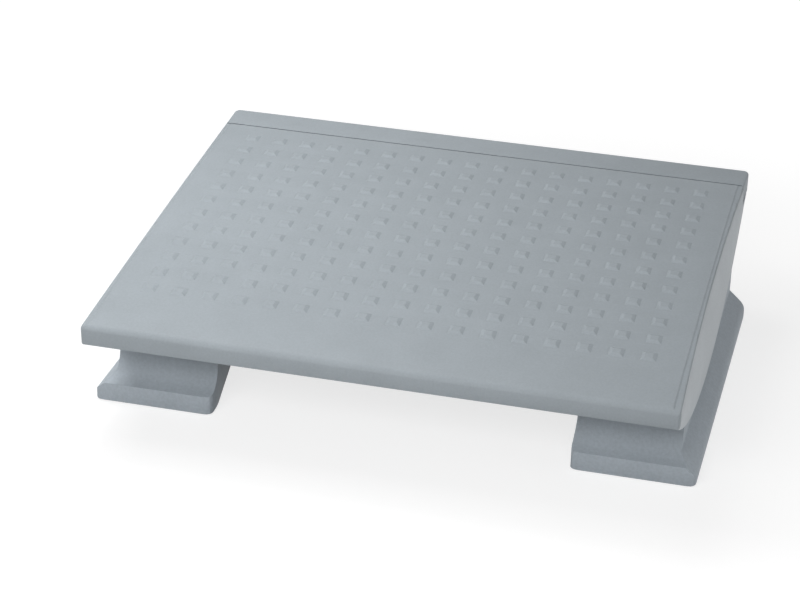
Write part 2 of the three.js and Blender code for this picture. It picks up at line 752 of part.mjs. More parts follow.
function footShell() {
  const outside = footForm(0, FOOT_BASE_HEIGHT);
  const hollow = footForm(FOOT_WALL, FOOT_BASE_HEIGHT - CUT_OVERRUN);
  const core = footForm(FOOT_WALL / 2, footRibBase);
  let shell = outside.subtract(hollow).add(footInnards().intersect(core));
  for (const x of [bearingInnerX, bearingOuterX]) {
    shell = shell.add(solidOf(alongX(bearingOutline(), x, x + BEARING_WALL, SMALL_ROUND_STEPS)));
  }
  const postTop = stopTopHeight() - STOP_BUTTON_HEIGHT - SEAM;
  const roofInside = roofHeight - FOOT_WALL / 2;
  for (const [x, y] of stopPlaces()) {
    shell = shell.add(solidOf(rodAlongZ(STOP_POST_RADIUS, roofInside, postTop, x, y)));
    const depth = STOP_STEM_LENGTH + SEAM;
    const radius = STOP_STEM_RADIUS + BORE_PLAY;
    shell = shell.subtract(solidOf(rodAlongZ(
      radius, postTop - depth, postTop + CUT_OVERRUN, x, y, SMALL_ROUND_STEPS)));
  }
  for (const [x, y] of solePlaces()) {
    const radius = SOLE_STEM_RADIUS + BORE_PLAY;
    const top = SOLE_HEIGHT + SOLE_STEM_LENGTH + SEAM;
    shell = shell.subtract(solidOf(rodAlongZ(
      radius, SOLE_HEIGHT - CUT_OVERRUN, top, x, y, SMALL_ROUND_STEPS)));
  }
  const slotHalf = BEARING_RADIUS + EAR_SLOT_CLEARANCE;
  const slotFloor = AXLE_HEIGHT - slotHalf;
  shell = shell.subtract(solidOf(box(
    bearingInnerX + BEARING_WALL, bearingOuterX, -slotHalf, slotHalf,
    slotFloor, roofHeight + CUT_OVERRUN)));
  const bore = rodAlongX(
    boreRadius, bearingInnerX - CUT_OVERRUN, bearingEndX + CUT_OVERRUN, 0, AXLE_HEIGHT);
  return geometryOf(shell.subtract(solidOf(bore)));
}

// A rubber button with a stem, its face down for a sole and up for a stop
function button(radius, height, stemRadius, stemLength, faceUp, steps = SMALL_ROUND_STEPS) {
  const flip = faceUp ? -1 : 1;
  const points = [
    [0, 0],
    [radius, 0],
    [radius, flip * height],
    [stemRadius, flip * height],
    [stemRadius, flip * (height + stemLength)],
    [0, flip * (height + stemLength)],
  ];
  const ordered = faceUp ? points.reverse() : points;
  const section = ordered.map(([r, z]) => new THREE.Vector2(r, z));
  return new THREE.LatheGeometry(section, steps).rotateX(Math.PI / 2);
}

function sole() {
  return button(SOLE_RADIUS, SOLE_HEIGHT, SOLE_STEM_RADIUS, SOLE_STEM_LENGTH, false);
}

function stop() {
  const face = button(STOP_POST_RADIUS, STOP_BUTTON_HEIGHT, STOP_STEM_RADIUS, STOP_STEM_LENGTH, true);
  return face.translate(0, 0, stopTopHeight());
}

function crossAxle() {
  const shoulder = bearingEndX - AXLE_SHOULDER_SETBACK;
  const axle = solidOf(turned([
    [0, -axleEndX],
    [AXLE_END_RADIUS, -axleEndX],
    [AXLE_END_RADIUS, -shoulder],
    [AXLE_RADIUS, -shoulder],
    [AXLE_RADIUS, shoulder],
    [AXLE_END_RADIUS, shoulder],
    [AXLE_END_RADIUS, axleEndX],
    [0, axleEndX],
  ]));
  const pinX = bearingInnerX - SEAM - COLLAR_LENGTH / 2;
  const radius = COLLAR_PIN_RADIUS + BORE_PLAY;
  const holes = [-pinX, pinX].map((x) => (
    rodAlongZ(radius, -AXLE_RADIUS - CUT_OVERRUN, AXLE_RADIUS + CUT_OVERRUN, x, 0, SMALL_ROUND_STEPS)));
  return geometryOf(axle.subtract(together(holes)));
}

function collar() {
  const end = bearingInnerX - SEAM;
  const ring = solidOf(ringAlongX(boreRadius, COLLAR_RADIUS, end - COLLAR_LENGTH, end));
  const hole = rodAlongZ(
    COLLAR_PIN_RADIUS + BORE_PLAY, -COLLAR_RADIUS - CUT_OVERRUN, COLLAR_RADIUS + CUT_OVERRUN,
    end - COLLAR_LENGTH / 2, 0, SMALL_ROUND_STEPS);
  return geometryOf(ring.subtract(solidOf(hole)));
}

function collarPin() {
  const x = bearingInnerX - SEAM - COLLAR_LENGTH / 2;
  return rodAlongZ(COLLAR_PIN_RADIUS, -COLLAR_RADIUS, COLLAR_RADIUS, x, 0, SMALL_ROUND_STEPS);
}

function pivotBush() {
  return ringAlongX(boreRadius, bushRadius, earInnerX, earInnerX + EAR_THICKNESS);
}

function frictionDisc(x) {
  return ringAlongX(boreRadius, BEARING_RADIUS, x, x + FRICTION_DISC_THICKNESS);
}

function washer() {
  return ringAlongX(endBoreRadius, WASHER_RADIUS, washerX, washerX + WASHER_THICKNESS);
}

function discSpring() {
  const rim = springX + DISC_SPRING_THICKNESS;
  return turned([
    [endBoreRadius, springX + DISC_SPRING_RISE],
    [DISC_SPRING_RADIUS, springX],
    [DISC_SPRING_RADIUS, rim],
    [endBoreRadius, rim + DISC_SPRING_RISE],
    [endBoreRadius, springX + DISC_SPRING_RISE],
  ]);
}

function lockNut() {
  const corner = NUT_ACROSS_FLATS / 2 / Math.cos(Math.PI / 6);
  const hexagon = new THREE.Shape();
  for (let k = 0; k < 6; k += 1) {
    const angle = (k + 0.5) * Math.PI / 3;
    const point = [corner * Math.cos(angle), corner * Math.sin(angle)];
    if (k === 0) {
      hexagon.moveTo(...point);
    } else {
      hexagon.lineTo(...point);
    }
  }
  const bore = new THREE.Path();
  bore.absarc(0, 0, endBoreRadius, 0, 2 * Math.PI, true);
  hexagon.holes.push(bore);
  return alongX(hexagon, nutX, nutX + NUT_HEIGHT, SMALL_ROUND_STEPS);
}

// Finishes
const treadGrey = { color: 0xa4abaf, roughness: 0.62, metalness: 0 };
const cheekGrey = { color: 0xb9bfc2, roughness: 0.55, metalness: 0 };
const footGrey = { color: 0x9aa1a5, roughness: 0.62, metalness: 0 };
const innerPlastic = { color: 0x3a3d40, roughness: 0.6, metalness: 0 };
const bearingPlastic = { color: 0xe6e2d4, roughness: 0.4, metalness: 0 };
const zincSteel = { color: 0xb9bcbf, roughness: 0.35, metalness: 1 };
const springSteel = { color: 0x55585c, roughness: 0.4, metalness: 1 };
const frictionFibre = { color: 0x6b5a48, roughness: 0.9, metalness: 0 };
const rubber = { color: 0x26282a, roughness: 0.85, metalness: 0 };

function piece(name, geometry, finish) {
  const mesh = new THREE.Mesh(geometry, new THREE.MeshStandardMaterial(finish));
  mesh.name = name;
  return mesh;
}

// A piece of the right half, or its mirror image for the left half
function sided(name, side, geometry, finish) {
  return piece(`${name}_${side}`, side === 'left' ? mirrored(geometry) : geometry, finish);
}

// The tread and what tilts with it, in a group hung on the axle
function treadGroup() {
  const group = new THREE.Group();
  group.position.set(0, 0, AXLE_HEIGHT);
  group.rotation.x = THREE.MathUtils.degToRad(REST_TILT_DEGREES);
  group.add(piece('tread_plate', geometryOf(treadPlate()), treadGrey));
  for (const side of ['right', 'left']) {
    group.add(sided('cheek', side, cheek(), cheekGrey));
    group.add(sided('pivot_bracket', side, pivotBracket(), innerPlastic));
    group.add(sided('pivot_bush', side, pivotBush(), bearingPlastic));
    addEach(group, 'cheek_screw', side, tabScrewPlaces(), () => screw(tabFloor), zincSteel);
    addEach(group, 'bracket_screw', side, bracketScrewPlaces(), () => screw(bracketFloor), zincSteel);
  }
  return group;
}

// One foot and what sits on the axle in it
function footGroup(side) {
  const group = new THREE.Group();
  group.add(sided('foot_shell', side, footShell(), footGrey));
  addEach(group, 'foot_sole', side, solePlaces(), sole, rubber);
  addEach(group, 'stop_button', side, stopPlaces(), stop, rubber);
  const onAxle = new THREE.Group();
  onAxle.position.z = AXLE_HEIGHT;
  onAxle.add(sided('axle_collar', side, collar(), zincSteel));
  onAxle.add(sided('collar_pin', side, collarPin(), springSteel));
  onAxle.add(sided('friction_disc_inner', side, frictionDisc(discInnerX), frictionFibre));
  onAxle.add(sided('friction_disc_outer', side, frictionDisc(discOuterX), frictionFibre));
  onAxle.add(sided('axle_washer', side, washer(), zincSteel));
  onAxle.add(sided('disc_spring', side, discSpring(), springSteel));
  onAxle.add(sided('lock_nut', side, lockNut(), zincSteel));
  group.add(onAxle);
  return group;
}

const footrest = new THREE.Group();
footrest.add(treadGroup());
footrest.add(footGroup('right'));
footrest.add(footGroup('left'));
const axle = piece('cross_axle', crossAxle(), zincSteel);
axle.position.z = AXLE_HEIGHT;
footrest.add(axle);
const bounds = new THREE.Box3().setFromObject(footrest, true);
footrest.position.y = -(bounds.min.y + bounds.max.y) / 2;

export default footrest;
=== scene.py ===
import json
import math

import bmesh
import bpy
from mathutils import Matrix, Vector


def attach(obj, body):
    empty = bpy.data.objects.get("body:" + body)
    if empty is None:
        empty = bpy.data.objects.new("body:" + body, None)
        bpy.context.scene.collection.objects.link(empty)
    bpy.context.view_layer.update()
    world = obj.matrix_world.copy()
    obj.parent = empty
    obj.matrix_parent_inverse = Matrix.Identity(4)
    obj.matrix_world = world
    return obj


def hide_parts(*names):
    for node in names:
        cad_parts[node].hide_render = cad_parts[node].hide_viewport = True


# Tilting under-desk footrest, in metres, +X to the user's right, +Y away from the user
MM = 0.001

# Camera of the photograph, found from the tread's corners, its grid of pads and the feet
CAMERA_PLACE = (0.37897, -1.68786, 0.91517)
CAMERA_AZIMUTH = 13.520
CAMERA_ELEVATION = 26.486
CAMERA_ROLL = 1.637
CAMERA_LENS = 108.756
CAMERA_SENSOR = 36

# Tilt of the tread in the frame, and the gap that the CAD leaves between two pieces
REST_TILT = math.radians(4)
SEAM = 0.3 * MM

# Surface colours as linear red, green and blue
TREAD_GREY = (0.350, 0.387, 0.415)
CHEEK_GREY = (0.565, 0.604, 0.632)
FOOT_GREY = (0.43, 0.478, 0.522)

# Light that the white floor gives back to the object, and its tone and glow as the camera sees it
FLOOR_SIZE = 30
FLOOR_ALBEDO = 0.55
FLOOR_SEEN_ALBEDO = 0.35
FLOOR_GLOW_NEAR, FLOOR_GLOW_FAR = 0.74, 0.93
FLOOR_GLOW_START, FLOOR_GLOW_END = 0.35, 0.8

# Strength of the surroundings as light on the object, where 1 is the white that the camera sees
WORLD_LIGHT = 0.06

# Soft lamps: place, aim, size and power in watts
LAMPS = [
    ("over_left", (-0.3, 0.5, 1.2), (0.05, 0, 0.09), (0.5, 0.5), 4.4),
    ("near_left", (-0.38, -0.02, 0.61), (0.06, 0, 0.09), (0.4, 0.4), 2.15),
    ("front_wide", (0.05, -0.95, 0.58), (0, 0, 0.07), (1.0, 0.3), 4.4),
    ("front_left", (-0.3, -0.9, 0.55), (0, 0, 0.07), (0.6, 0.3), 1.9),
    ("right_low", (1.5, 0.0, 0.3), (0, 0, 0.07), (1.0, 0.4), 5.5),
]

# Moulded plastic: its faint gloss, and the scale of its slow change of tone
PLASTIC_IOR = 1.5
PLASTIC_SPECULAR = 0.15
PLASTIC_CLOUD = 34

# Metal: the scale of its change of tone, and the scale and depth of its finish
METAL_CLOUD = 220
METAL_GRAIN = 1800
METAL_DEPTH = 0.00002

# Range of the pointiness over which an edge counts as worn
WEAR_START, WEAR_END = 0.51, 0.58

# How far the painted shade beside a step reaches, and the share of open sky over which it fades
CREASE_REACH = 3 * MM
CREASE_SAMPLES = 6
CREASE_DARK, CREASE_CLEAR = 0.55, 0.97

# Facets merged and edges rounded on the pieces of the CAD, angles in degrees
MERGE_GAP = 0.02 * MM
MERGE_ANGLE = 0.3
EDGE_SEGMENTS = 3
EDGE_ANGLE = 24

# Steps of a whole turn and of a rounded corner, and the sharpest edge that is still shaded smooth
ROUND_STEPS = 48
SMALL_ROUND_STEPS = 32
CORNER_STEPS = 3
SMOOTH_ANGLE = 32

# Screws
SCREW_HEAD = 3.6 * MM
SCREW_HEAD_HEIGHT = 2.4 * MM
SCREW_CORE = 1.3 * MM
SCREW_CREST = 1.75 * MM
SCREW_PITCH = 1.25 * MM
CROSS_SIZE = (3.8 * MM, 0.9 * MM, 2.8 * MM)
CROSS_TAPER = 0.45

# Axle and its threaded neck
AXLE_RADIUS = 6 * MM
AXLE_NECK = 4 * MM
AXLE_CHAMFER = 0.6 * MM
AXLE_SHOULDER_GAP = 0.4 * MM
THREAD_PITCH = 1.0 * MM
THREAD_DEPTH = 0.45 * MM
THREAD_LEAD = 1.5 * MM
THREAD_END = 1.6 * MM
TIP_CHAMFER = 0.9 * MM

# Lock nut: half its width across flats, its bore, and the nylon insert's inner and outer radius
NUT_FLAT = 6.5 * MM
NUT_BORE = 4.1 * MM
NUT_STEPS = 72
NUT_SMOOTH_ANGLE = 25
NUT_INSERT = (3.95 * MM, 5.0 * MM)

# Slotted pin and coned spring: inner and outer radius
PIN_RADII = (0.9 * MM, 1.5 * MM)
PIN_SLOT = 24
SPRING_RADII = (4.3 * MM, 8.8 * MM)
SPRING_RISE = 0.6 * MM

# Rubber soles and stop buttons, and the stems that hold them
SOLE_RADIUS, SOLE_HEIGHT = 9 * MM, 3 * MM
GROOVE_DEPTH = 0.5 * MM
STOP_RADIUS, STOP_HEIGHT, STOP_STEM = 7 * MM, 5 * MM, 8 * MM
STEM_RADIUS, STEM_TIP = 2.5 * MM, 2 * MM
STEM_CHAMFER = 0.5 * MM

# Round lips over the bearing walls: radii, edge, steps of the half turn, and the ease at its ends
LIP_RADII = (11.6 * MM, 13.5 * MM)
LIP_ROUND = 0.6 * MM
LIP_STEPS = 40
LIP_EASE = 0.02


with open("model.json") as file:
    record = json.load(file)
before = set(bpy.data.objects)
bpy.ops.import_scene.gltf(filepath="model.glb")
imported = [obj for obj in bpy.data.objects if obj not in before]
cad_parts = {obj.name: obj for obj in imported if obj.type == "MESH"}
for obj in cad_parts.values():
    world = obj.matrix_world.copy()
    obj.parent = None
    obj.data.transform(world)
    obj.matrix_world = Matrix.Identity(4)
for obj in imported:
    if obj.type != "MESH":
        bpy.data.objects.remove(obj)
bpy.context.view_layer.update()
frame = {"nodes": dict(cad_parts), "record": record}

record = frame["record"]
slot_of = {row["node"]: row["material_slot"] for row in record["subparts"]}
body_of = {node: body for body, nodes in record["behaviour"]["bodies"].items() for node in nodes}
hinge = Vector(record["behaviour"]["joints"][0]["pos_m"])

# The tread's own frame, with the axle as origin
TREAD = Matrix.Translation(hinge) @ Matrix.Rotation(REST_TILT, 4, "X")
AXLE = Matrix.Translation(hinge)


# Node materials

def new_material(name):
    material = bpy.data.materials.new(name)
    material.use_nodes = True
    tree = material.node_tree
    return material, tree, tree.nodes["Principled BSDF"]


def add_node(tree, kind, **settings):
    node = tree.nodes.new(kind)
    for key, value in settings.items():
        if key in node.inputs:
            node.inputs[key].default_value = value
        else:
            setattr(node, key, value)
    return node


def object_noise(tree, scale, detail=2.0, roughness=0.5):
    place = add_node(tree, "ShaderNodeTexCoord")
    noise = add_node(tree, "ShaderNodeTexNoise", Scale=scale, Detail=detail, Roughness=roughness)
    tree.links.new(place.outputs["Object"], noise.inputs["Vector"])
    return noise.outputs["Fac"]


def spread(tree, value, low, high, clip_low=0.3, clip_high=0.7):
    """Maps the clipped range of a value to low..high."""
    ramp = add_node(tree, "ShaderNodeMapRange")
    for key, number in zip(("From Min", "From Max", "To Min", "To Max"),
                           (clip_low, clip_high, low, high)):
        ramp.inputs[key].default_value = number
    tree.links.new(value, ramp.inputs["Value"])
    return ramp.outputs["Result"]


def combined(tree, operation, first, second):
    join = add_node(tree, "ShaderNodeMath", operation=operation)
    tree.links.new(first, join.inputs[0])
    tree.links.new(second, join.inputs[1])
    return join.outputs[0]


def tinted(tree, colour, factor):
    mix = add_node(tree, "ShaderNodeMix", data_type="RGBA", blend_type="MULTIPLY")
    mix.inputs["Factor"].default_value = 1.0
    mix.inputs[6].default_value = (*colour, 1)
    tree.links.new(factor, mix.inputs[7])
    return mix.outputs[2]


def bumped(tree, shader, heights):
    """Chains bump nodes, one for each (height, depth in metres)."""
    normal = None
    for height, depth in heights:
        bump = add_node(tree, "ShaderNodeBump", Strength=1.0, Distance=depth)
        tree.links.new(height, bump.inputs["Height"])
        if normal is not None:
            tree.links.new(normal, bump.inputs["Normal"])
        normal = bump.outputs["Normal"]
    tree.links.new(normal, shader.inputs["Normal"])


def edge_wear(tree, tone):
    """Lightens convex edges a little, as handling and the mould's polish do."""
    geometry = add_node(tree, "ShaderNodeNewGeometry")
    return spread(tree, geometry.outputs["Pointiness"], 1.0, tone, WEAR_START, WEAR_END)


def crease_painted_shade(tree, tone):
    """Paints shade into the colour over the few millimetres beside a step or a pad, darker where
    less open sky reaches.
    """
    shelter = add_node(tree, "ShaderNodeAmbientOcclusion", Distance=CREASE_REACH,
                       samples=CREASE_SAMPLES, only_local=True)
    return spread(tree, shelter.outputs["AO"], tone, 1.0, CREASE_DARK, CREASE_CLEAR)


def moulded_plastic(name, colour, grain=1400, depth=0.00006, roughness=0.55,
                    wear=1.02, mottle=0.02, painted_crease_shade=1.0):
    material, tree, shader = new_material(name)
    cloud = object_noise(tree, PLASTIC_CLOUD, 3.0)
    fine = object_noise(tree, grain, 2.0, 0.6)
    speck = object_noise(tree, grain * 0.45, 1.0)
    flecks = spread(tree, speck, 1 - mottle, 1 + mottle)
    tone = combined(tree, "MULTIPLY", spread(tree, cloud, 0.975, 1.025), flecks)
    if wear > 1:
        tone = combined(tree, "MULTIPLY", tone, edge_wear(tree, wear))
    # Painted shade: the tone is darkened beside steps and pads, where less open sky reaches
    if painted_crease_shade < 1:
        tone = combined(tree, "MULTIPLY", tone, crease_painted_shade(tree, painted_crease_shade))
    tree.links.new(tinted(tree, colour, tone), shader.inputs["Base Color"])
    gloss = spread(tree, fine, roughness - 0.06, roughness + 0.08)
    tree.links.new(gloss, shader.inputs["Roughness"])
    shader.inputs["IOR"].default_value = PLASTIC_IOR
    shader.inputs["Specular IOR Level"].default_value = PLASTIC_SPECULAR
    bumped(tree, shader, [(speck, depth * 0.7), (fine, depth)])
    return material


def plain_metal(name, colour, roughness):
    material, tree, shader = new_material(name)
    shader.inputs["Metallic"].default_value = 1.0
    cloud = object_noise(tree, METAL_CLOUD, 4.0)
    tone = combined(tree, "MULTIPLY", spread(tree, cloud, 0.86, 1.06), edge_wear(tree, 1.2))
    tree.links.new(tinted(tree, colour, tone), shader.inputs["Base Color"])
    gloss = spread(tree, cloud, roughness - 0.08, roughness + 0.12)
    tree.links.new(gloss, shader.inputs["Roughness"])
    bumped(tree, shader, [(object_noise(tree, METAL_GRAIN), METAL_DEPTH)])
    return material


SLOT_MATERIALS = {
    # The tread's colour carries painted shade beside its steps and pads
    "tread_plastic": moulded_plastic(
        "TreadPlastic", TREAD_GREY, 1300, 0.00008, wear=1.0, mottle=0.03, painted_crease_shade=0.6),
    "cheek_plastic": moulded_plastic("CheekPlastic", CHEEK_GREY, 1300, 0.00008, mottle=0.03),
    "foot_plastic": moulded_plastic("FootPlastic", FOOT_GREY, 1000, 0.00014, mottle=0.05),
    "bracket_plastic": moulded_plastic("BracketPlastic", (0.05, 0.052, 0.055)),
    "bush_plastic": moulded_plastic("BushPlastic", (0.72, 0.68, 0.58), 1400, 0.00002, 0.4),
    "friction_fibre": moulded_plastic("FrictionFibre", (0.15, 0.1, 0.065), 900, 0.0001, 0.85),
    "spring_steel": plain_metal("SpringSteel", (0.12, 0.125, 0.14), 0.35),
    "zinc_steel": plain_metal("ZincSteel", (0.62, 0.63, 0.65), 0.3),
    "rubber": moulded_plastic(
        "BlackRubber", (0.028, 0.029, 0.031), 1100, 0.00006, 0.75, wear=1.0),
}


def dress(node):
    solid = frame["nodes"][node]
    solid.data.materials.clear()
    solid.data.materials.append(SLOT_MATERIALS[slot_of[node]])


def round_edges(node, width):
    """Joins the facets, merges flat neighbours, then rounds the edges that are left."""
    solid = frame["nodes"][node]
    solid.modifiers.new("join", "WELD").merge_threshold = MERGE_GAP
    merge = solid.modifiers.new("merge", "DECIMATE")
    merge.decimate_type = "DISSOLVE"
    merge.angle_limit = math.radians(MERGE_ANGLE)
    bevel = solid.modifiers.new("round", "BEVEL")
    bevel.width = width
    bevel.segments = EDGE_SEGMENTS
    bevel.limit_method = "ANGLE"
    bevel.angle_limit = math.radians(EDGE_ANGLE)
    bevel.harden_normals = True
    for polygon in solid.data.polygons:
        polygon.use_smooth = True


# Pieces of the scene

def own_box(node):
    """Lowest and highest corner of a node in its carrier's frame: the tread's, or the axle's."""
    carrier = TREAD if body_of[node] == "tread" else AXLE
    solid = frame["nodes"][node]
    back = carrier.inverted() @ solid.matrix_world
    points = [back @ vertex.co for vertex in solid.data.vertices]
    lowest = Vector(min(point[axis] for point in points) for axis in range(3))
    highest = Vector(max(point[axis] for point in points) for axis in range(3))
    return carrier, lowest, highest


def add_piece(name, mesh, matrix, body, slot, stands_for=None):
    piece = bpy.data.objects.new(name, mesh)
    bpy.context.scene.collection.objects.link(piece)
    piece.matrix_world = matrix
    if not mesh.materials:
        mesh.materials.append(SLOT_MATERIALS[slot])
    if stands_for:
        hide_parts(stands_for)
    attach(piece, body)


def shade(mesh, angle=SMOOTH_ANGLE):
    """Smooth shading, with edges sharper than the angle kept crisp."""
    form = bmesh.new()
    form.from_mesh(mesh)
    bmesh.ops.remove_doubles(form, verts=form.verts, dist=0.01 * MM)
    bmesh.ops.recalc_face_normals(form, faces=form.faces)
    for face in form.faces:
        face.smooth = True
    for edge in form.edges:
        edge.smooth = edge.calc_face_angle(0) < math.radians(angle)
    form.to_mesh(mesh)
    form.free()
    return mesh


def turned(name, profile, steps=ROUND_STEPS, start=0.0, sweep=2 * math.pi):
    """A round body about Z through (radius, z) pairs."""
    full = sweep >= 2 * math.pi - 1e-6
    columns = steps if full else steps + 1
    vertices = []
    for k in range(columns):
        angle = start + sweep * k / steps
        for radius, z in profile:
            vertices.append((radius * math.cos(angle), radius * math.sin(angle), z))
    faces = []
    rows = len(profile)
    for k in range(steps):
        here, there = k * rows, ((k + 1) % columns) * rows
        for i in range(rows - 1):
            faces.append((here + i, there + i, there + i + 1, here + i + 1))
    if not full:
        faces.append(tuple(range(rows)))
        faces.append(tuple((columns - 1) * rows + i for i in reversed(range(rows))))
    mesh = bpy.data.meshes.new(name)
    mesh.from_pydata(vertices, [], faces)
    return shade(mesh)


def softened(points, radius):
    """The same profile with each inner corner rounded."""
    out = [points[0]]
    for before, corner, after in zip(points, points[1:], points[2:]):
        corner = Vector(corner)
        back = Vector(before) - corner
        ahead = Vector(after) - corner
        reach = min(radius, back.length / 2.05, ahead.length / 2.05)
        start = corner + back.normalized() * reach
        end = corner + ahead.normalized() * reach
        for k in range(CORNER_STEPS + 1):
            share = k / CORNER_STEPS
            out.append(tuple(start.lerp(corner, share).lerp(corner.lerp(end, share), share)))
    return [*out, points[-1]]


def ring_profile(inner, outer, z0, z1, radius):
    middle = (z0 + z1) / 2
    loop = [(inner, middle), (inner, z0), (outer, z0), (outer, z1), (inner, z1), (inner, middle)]
    return softened(loop, radius)


def along_x(carrier, x):
    """Puts a body made about Z on the axle's line, its base at x."""
    return carrier @ Matrix.Translation((x, 0, 0)) @ Matrix.Rotation(math.pi / 2, 4, "Y")


def facing_out(carrier, lowest, highest, side):
    """Puts a body made about Z on the axle's line, its base towards the middle of the footrest."""
    base = lowest.x if side == "right" else highest.x
    turn = Matrix.Rotation(0 if side == "right" else math.pi, 4, "Z")
    return carrier @ Matrix.Translation((base, 0, 0)) @ turn @ Matrix.Rotation(math.pi / 2, 4, "Y")


def standing(carrier, lowest, highest, z):
    """Puts a body made about Z over the middle of a node's box, at height z."""
    middle = (lowest + highest) / 2
    return carrier @ Matrix.Translation((middle.x, middle.y, z))


def ring_on_axle(node, radius):
    """Stands a finely turned ring in for a ring on the axle, of the same size."""
    carrier, lowest, highest = own_box(node)
    reaches = [math.hypot(vertex.co.y - hinge.y, vertex.co.z - hinge.z)
               for vertex in frame["nodes"][node].data.vertices]
    profile = ring_profile(min(reaches), max(reaches), 0, highest.x - lowest.x, radius)
    mesh = turned(node, profile)
    place = along_x(carrier, lowest.x)
    add_piece(f"{node}_turned", mesh, place, body_of[node], slot_of[node], node)


def cut(mesh, tool):
    """Takes the tool mesh away from the mesh."""
    base = bpy.data.objects.new("base", mesh)
    blade = bpy.data.objects.new("blade", tool)
    for item in (base, blade):
        bpy.context.scene.collection.objects.link(item)
    modifier = base.modifiers.new("cut", "BOOLEAN")
    modifier.object = blade
    modifier.operation = "DIFFERENCE"
    modifier.solver = "EXACT"
    modifier.use_self = True
    sight = bpy.context.evaluated_depsgraph_get()
    sight.update()
    result = bpy.data.meshes.new_from_object(base.evaluated_get(sight))
    for item in (base, blade):
        bpy.data.objects.remove(item)
    return shade(result)


# Screws

def screw_profile(length):
    """Half section from the middle of the head's face up to the tip, the head below."""
    seat = SCREW_HEAD_HEIGHT
    points = [(0, 0), (2.2 * MM, 0.1 * MM), (3.1 * MM, 0.6 * MM), (SCREW_HEAD, 1.5 * MM),
              (SCREW_HEAD, seat), (SCREW_CREST, seat)]
    turns = int((length - 2 * SCREW_CREST - seat) / SCREW_PITCH)
    for k in range(turns):
        z = seat + (k + 0.5) * SCREW_PITCH
        points += [(SCREW_CORE, z), (SCREW_CORE, z + 0.45 * SCREW_PITCH),
                   (SCREW_CREST, z + 0.7 * SCREW_PITCH)]
    return points + [(SCREW_CORE, points[-1][1] + 0.3 * SCREW_PITCH), (0, length)]


def cross_tool():
    """Two crossed, tapered blades for a screw's recess."""
    form = bmesh.new()
    for turn in (0, math.pi / 2):
        made = bmesh.ops.create_cube(form, size=1)["verts"]
        bmesh.ops.scale(form, vec=CROSS_SIZE, verts=made)
        for vertex in made:
            if vertex.co.z > 0:
                vertex.co.x *= CROSS_TAPER
        bmesh.ops.rotate(form, matrix=Matrix.Rotation(turn, 3, "Z"), verts=made)
    mesh = bpy.data.meshes.new("cross")
    form.to_mesh(mesh)
    form.free()
    return mesh


def screws():
    names = [node for node in slot_of if "_screw_" in node]
    _, lowest, highest = own_box(names[0])
    body = turned("screw", screw_profile(highest.z - lowest.z), SMALL_ROUND_STEPS)
    mesh = cut(body, cross_tool())
    for node in names:
        carrier, lowest, highest = own_box(node)
        # Each screw stops at an angle of its own
        turn = Matrix.Rotation(math.radians(37 * len(node) + 61 * int(node[-1])), 4, "Z")
        place = standing(carrier, lowest, highest, lowest.z) @ turn
        add_piece(f"{node}_head", mesh, place, body_of[node], slot_of[node], node)


# Axle and what sits on it

def axle():
    carrier, _, highest = own_box("cross_axle")
    end = highest.x
    shoulder = own_box("axle_washer_right")[1].x - SEAM - AXLE_SHOULDER_GAP
    half = [(AXLE_RADIUS, 0), (AXLE_RADIUS, shoulder - AXLE_CHAMFER),
            (AXLE_RADIUS - AXLE_CHAMFER, shoulder), (AXLE_NECK, shoulder)]
    z = own_box("lock_nut_right")[1].x - THREAD_LEAD
    while z < end - THREAD_END:
        half += [(AXLE_NECK, z), (AXLE_NECK - THREAD_DEPTH, z + THREAD_PITCH / 2)]
        z += THREAD_PITCH
    half += [(AXLE_NECK, z), (AXLE_NECK - TIP_CHAMFER, end), (0, end)]
    profile = [(r, -x) for r, x in reversed(half)] + half[1:]
    mesh = turned("cross_axle", profile)
    place = along_x(carrier, 0)
    add_piece("cross_axle_turned", mesh, place, "base", "zinc_steel", "cross_axle")


def circle(form, radii, z):
    """One closed row of vertices at height z, with a radius for each."""
    row = []
    for k, radius in enumerate(radii):
        angle = 2 * math.pi * k / len(radii)
        row.append(form.verts.new((radius * math.cos(angle), radius * math.sin(angle), z)))
    return row


def lock_nut(side):
    node = f"lock_nut_{side}"
    carrier, lowest, highest = own_box(node)
    height = highest.x - lowest.x
    corner = NUT_FLAT / math.cos(math.pi / 6)
    hexagon = []
    for k in range(NUT_STEPS):
        sector = (2 * math.pi * k / NUT_STEPS + math.pi / 6) % (math.pi / 3) - math.pi / 6
        hexagon.append(NUT_FLAT / math.cos(sector))
    levels = [(0, 0.94), (0.09, 1.0), (0.62, 1.0), (0.74, 0.9), (0.76, 0.84),
              (1.0, 0.8), (1.0, 0.6)]
    form = bmesh.new()
    loop = [circle(form, [min(radius, corner * reach) for radius in hexagon], share * height)
            for share, reach in levels]
    loop += [circle(form, [NUT_BORE] * NUT_STEPS, z) for z in (height, 0)]
    for lower, upper in zip(loop, loop[1:] + loop[:1]):
        for k in range(NUT_STEPS):
            after = (k + 1) % NUT_STEPS
            form.faces.new((lower[k], lower[after], upper[after], upper[k]))
    mesh = bpy.data.meshes.new(node)
    form.to_mesh(mesh)
    form.free()
    place = facing_out(carrier, lowest, highest, side)
    mesh = shade(mesh, NUT_SMOOTH_ANGLE)
    add_piece(f"{node}_chamfered", mesh, place, "base", "zinc_steel", node)
    profile = ring_profile(*NUT_INSERT, 0.9 * height, 1.004 * height, 0.2 * MM)
    insert = turned(f"{node}_insert", profile)
    add_piece(f"{node}_insert", insert, place, "base", "bush_plastic")


def spring_pin(side):
    """A slotted roll pin through the collar."""
    node = f"collar_pin_{side}"
    carrier, lowest, highest = own_box(node)
    half = (highest.z - lowest.z) / 2
    profile = ring_profile(*PIN_RADII, -half, half, 0.25 * MM)
    start, sweep = math.radians(PIN_SLOT / 2), math.radians(360 - PIN_SLOT)
    mesh = turned(node, profile, SMALL_ROUND_STEPS, start, sweep)
    place = standing(carrier, lowest, highest, (lowest.z + highest.z) / 2)
    add_piece(f"{node}_slotted", mesh, place, "base", "spring_steel", node)


